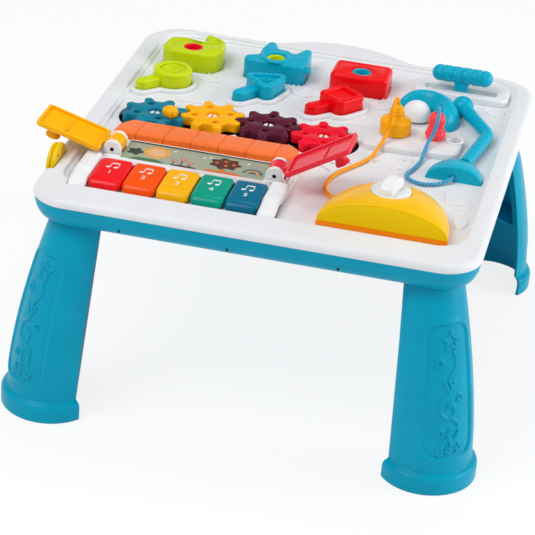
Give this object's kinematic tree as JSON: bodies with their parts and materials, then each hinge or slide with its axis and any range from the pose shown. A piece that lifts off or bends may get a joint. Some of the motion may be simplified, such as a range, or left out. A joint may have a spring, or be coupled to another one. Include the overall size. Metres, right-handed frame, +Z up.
{
  "type": "musical activity table",
  "caption": "Toddler's activity table: moulded play deck on four hollow legs with piano keys, doors, meshing gears, lift-out shapes, corded plugs, dial, lamp and slider.",
  "frame": {"origin": "on the floor, under the middle of the table's bounding box", "axes": "+X to the table's right, +Y to its bowed back edge, +Z up"},
  "size_m": [0.4724, 0.5146, 0.2825],
  "materials": {
    "deck_white": "smooth moulded plastic, soft gloss",
    "part_white": "smooth moulded plastic, soft gloss",
    "table_blue": "smooth moulded plastic, soft gloss",
    "cyan": "smooth moulded plastic, soft gloss",
    "lime": "smooth moulded plastic, soft gloss",
    "red": "smooth moulded plastic, soft gloss",
    "gear_teal": "smooth moulded plastic",
    "yellow": "smooth moulded plastic",
    "purple": "smooth moulded plastic",
    "key_orange": "smooth moulded plastic",
    "key_teal": "smooth moulded plastic",
    "key_blue": "smooth moulded plastic",
    "rose": "smooth moulded plastic",
    "tile_orange": "smooth moulded plastic",
    "band_orange": "smooth moulded plastic",
    "dome_yellow": "smooth moulded plastic",
    "black": "matt moulded plastic",
    "panel_print": "printed card, matt",
    "steel": "plated steel",
    "pad_rubber": "matt rubber",
    "board_green": "circuit board",
    "cell_wrap": "wrapped cells",
    "cord_orange": "soft vinyl cord",
    "cord_blue": "soft vinyl cord"
  },
  "bodies": {
    "table": {"deck_shell": "deck_white", "skirt_tray": "table_blue", "leg_front_left": "table_blue", "leg_front_right": "table_blue", "leg_back_left": "table_blue", "leg_back_right": "table_blue", "leg_screws": "steel", "case_screws": "steel", "gear_tray": "black", "gear_pegs": "part_white", "piano_housing": "part_white", "key_axle": "steel", "key_pads": "pad_rubber", "circuit_board": "board_green", "speaker": "black", "picture_panel": "panel_print", "tile_bar": "tile_orange", "door_pins": "steel", "cord_orange": "cord_orange", "cord_blue": "cord_blue", "dome_shell": "dome_yellow", "dome_base": "band_orange", "lamp_base": "cyan", "lamp_arm": "cyan", "lamp_shade": "cyan", "wheel_axle": "steel", "battery_cells": "cell_wrap", "battery_door": "table_blue"},
    "gear_1": {"gear_teal": "gear_teal", "crank_knob": "yellow"},
    "gear_2": {"gear_yellow": "yellow"},
    "gear_3": {"gear_purple": "purple"},
    "gear_4": {"gear_red": "red"},
    "door_a": {"door_left": "yellow"},
    "door_b": {"door_right": "rose"},
    "leaf_block": {"block_green": "lime", "block_green_core": "red"},
    "ears_block": {"block_blue": "cyan", "block_blue_core": "lime"},
    "brick_block": {"block_red": "red", "block_red_core": "cyan"},
    "round_tool": {"tool_green": "lime"},
    "triangle_tool": {"tool_blue": "cyan"},
    "square_tool": {"tool_red": "red"},
    "bell_plug": {"plug_orange": "yellow"},
    "bulb_plug": {"plug_red": "rose"},
    "dial_knob": {"dial": "part_white"},
    "bulb_button": {"lamp_bulb": "part_white"},
    "slider": {"slider_handle": "cyan", "slider_retainer": "part_white"},
    "wheel": {"side_wheel": "dome_yellow"},
    "piano_key_1": {"key_1": "red"},
    "piano_key_2": {"key_2": "key_orange"},
    "piano_key_3": {"key_3": "yellow"},
    "piano_key_4": {"key_4": "key_teal"},
    "piano_key_5": {"key_5": "key_blue"}
  },
  "joints": [
    {"name": "gear_1_spin", "type": "hinge", "parent": "table", "child": "gear_1", "pos_m": [-0.15029, -0.00095, 0.225], "axis": [0, 0, 1], "continuous": true},
    {"name": "gear_2_spin", "type": "hinge", "parent": "table", "child": "gear_2", "pos_m": [-0.0935, 0.0131, 0.225], "axis": [0, 0, 1], "continuous": true},
    {"name": "gear_3_spin", "type": "hinge", "parent": "table", "child": "gear_3", "pos_m": [-0.035, 0.0131, 0.225], "axis": [0, 0, 1], "continuous": true},
    {"name": "gear_4_spin", "type": "hinge", "parent": "table", "child": "gear_4", "pos_m": [0.02324, 0.0076, 0.225], "axis": [0, 0, 1], "continuous": true},
    {"name": "key_1_press", "type": "hinge", "parent": "table", "child": "piano_key_1", "pos_m": [-0.0843, -0.126, 0.2266], "axis": [1, 0, 0], "range_deg": [0, 2.1], "stiffness_Nm_per_rad": 0.3, "springref_deg": -8.59},
    {"name": "key_2_press", "type": "hinge", "parent": "table", "child": "piano_key_2", "pos_m": [-0.0843, -0.126, 0.2266], "axis": [1, 0, 0], "range_deg": [0, 2.1], "stiffness_Nm_per_rad": 0.3, "springref_deg": -8.59},
    {"name": "key_3_press", "type": "hinge", "parent": "table", "child": "piano_key_3", "pos_m": [-0.0843, -0.126, 0.2266], "axis": [1, 0, 0], "range_deg": [0, 2.1], "stiffness_Nm_per_rad": 0.3, "springref_deg": -8.59},
    {"name": "key_4_press", "type": "hinge", "parent": "table", "child": "piano_key_4", "pos_m": [-0.0843, -0.126, 0.2266], "axis": [1, 0, 0], "range_deg": [0, 2.1], "stiffness_Nm_per_rad": 0.3, "springref_deg": -8.59},
    {"name": "key_5_press", "type": "hinge", "parent": "table", "child": "piano_key_5", "pos_m": [-0.0843, -0.126, 0.2266], "axis": [1, 0, 0], "range_deg": [0, 2.1], "stiffness_Nm_per_rad": 0.3, "springref_deg": -8.59},
    {"name": "left_door_swing", "type": "hinge", "parent": "table", "child": "door_a", "pos_m": [-0.1615, -0.1055, 0.236], "axis": [0, 1, 0], "range_deg": [0, 164]},
    {"name": "right_door_swing", "type": "hinge", "parent": "table", "child": "door_b", "pos_m": [0.0003, -0.1055, 0.236], "axis": [0, -1, 0], "range_deg": [0, 148.4]},
    {"name": "leaf_lift", "type": "slide", "parent": "table", "child": "leaf_block", "axis": [0, 0, 1], "range_m": [0, 0.03]},
    {"name": "ears_lift", "type": "slide", "parent": "table", "child": "ears_block", "axis": [0, 0, 1], "range_m": [0, 0.03]},
    {"name": "brick_lift", "type": "slide", "parent": "table", "child": "brick_block", "axis": [0, 0, 1], "range_m": [0, 0.03]},
    {"name": "round_lift", "type": "slide", "parent": "table", "child": "round_tool", "axis": [0, 0, 1], "range_m": [0, 0.03]},
    {"name": "triangle_lift", "type": "slide", "parent": "table", "child": "triangle_tool", "axis": [0, 0, 1], "range_m": [0, 0.03]},
    {"name": "square_lift", "type": "slide", "parent": "table", "child": "square_tool", "axis": [0, 0, 1], "range_m": [0, 0.03]},
    {"name": "bell_plug_lift", "type": "slide", "parent": "table", "child": "bell_plug", "axis": [0, 0, 1], "range_m": [0, 0.012], "deforming": ["cord_orange"]},
    {"name": "bulb_plug_lift", "type": "slide", "parent": "table", "child": "bulb_plug", "axis": [0, 0, 1], "range_m": [0, 0.012], "deforming": ["cord_blue"]},
    {"name": "dial_turn", "type": "hinge", "parent": "table", "child": "dial_knob", "pos_m": [0.1165, -0.138, 0.25], "axis": [0, 0, 1], "range_deg": [-45, 45]},
    {"name": "bulb_press", "type": "slide", "parent": "table", "child": "bulb_button", "axis": [0, 0, -1], "range_m": [0, 0.0025], "stiffness_N_per_m": 250, "springref_m": -0.003},
    {"name": "slider_move", "type": "slide", "parent": "table", "child": "slider", "axis": [1, 0, 0], "range_m": [-0.028, 0.028]},
    {"name": "wheel_spin", "type": "hinge", "parent": "table", "child": "wheel", "pos_m": [-0.211, -0.141, 0.222], "axis": [1, 0, 0], "continuous": true}
  ],
  "couplings": [
    {"joint": "gear_2_spin", "follows": "gear_1_spin", "ratio": -1},
    {"joint": "gear_3_spin", "follows": "gear_1_spin", "ratio": 1},
    {"joint": "gear_4_spin", "follows": "gear_1_spin", "ratio": -1}
  ]
}
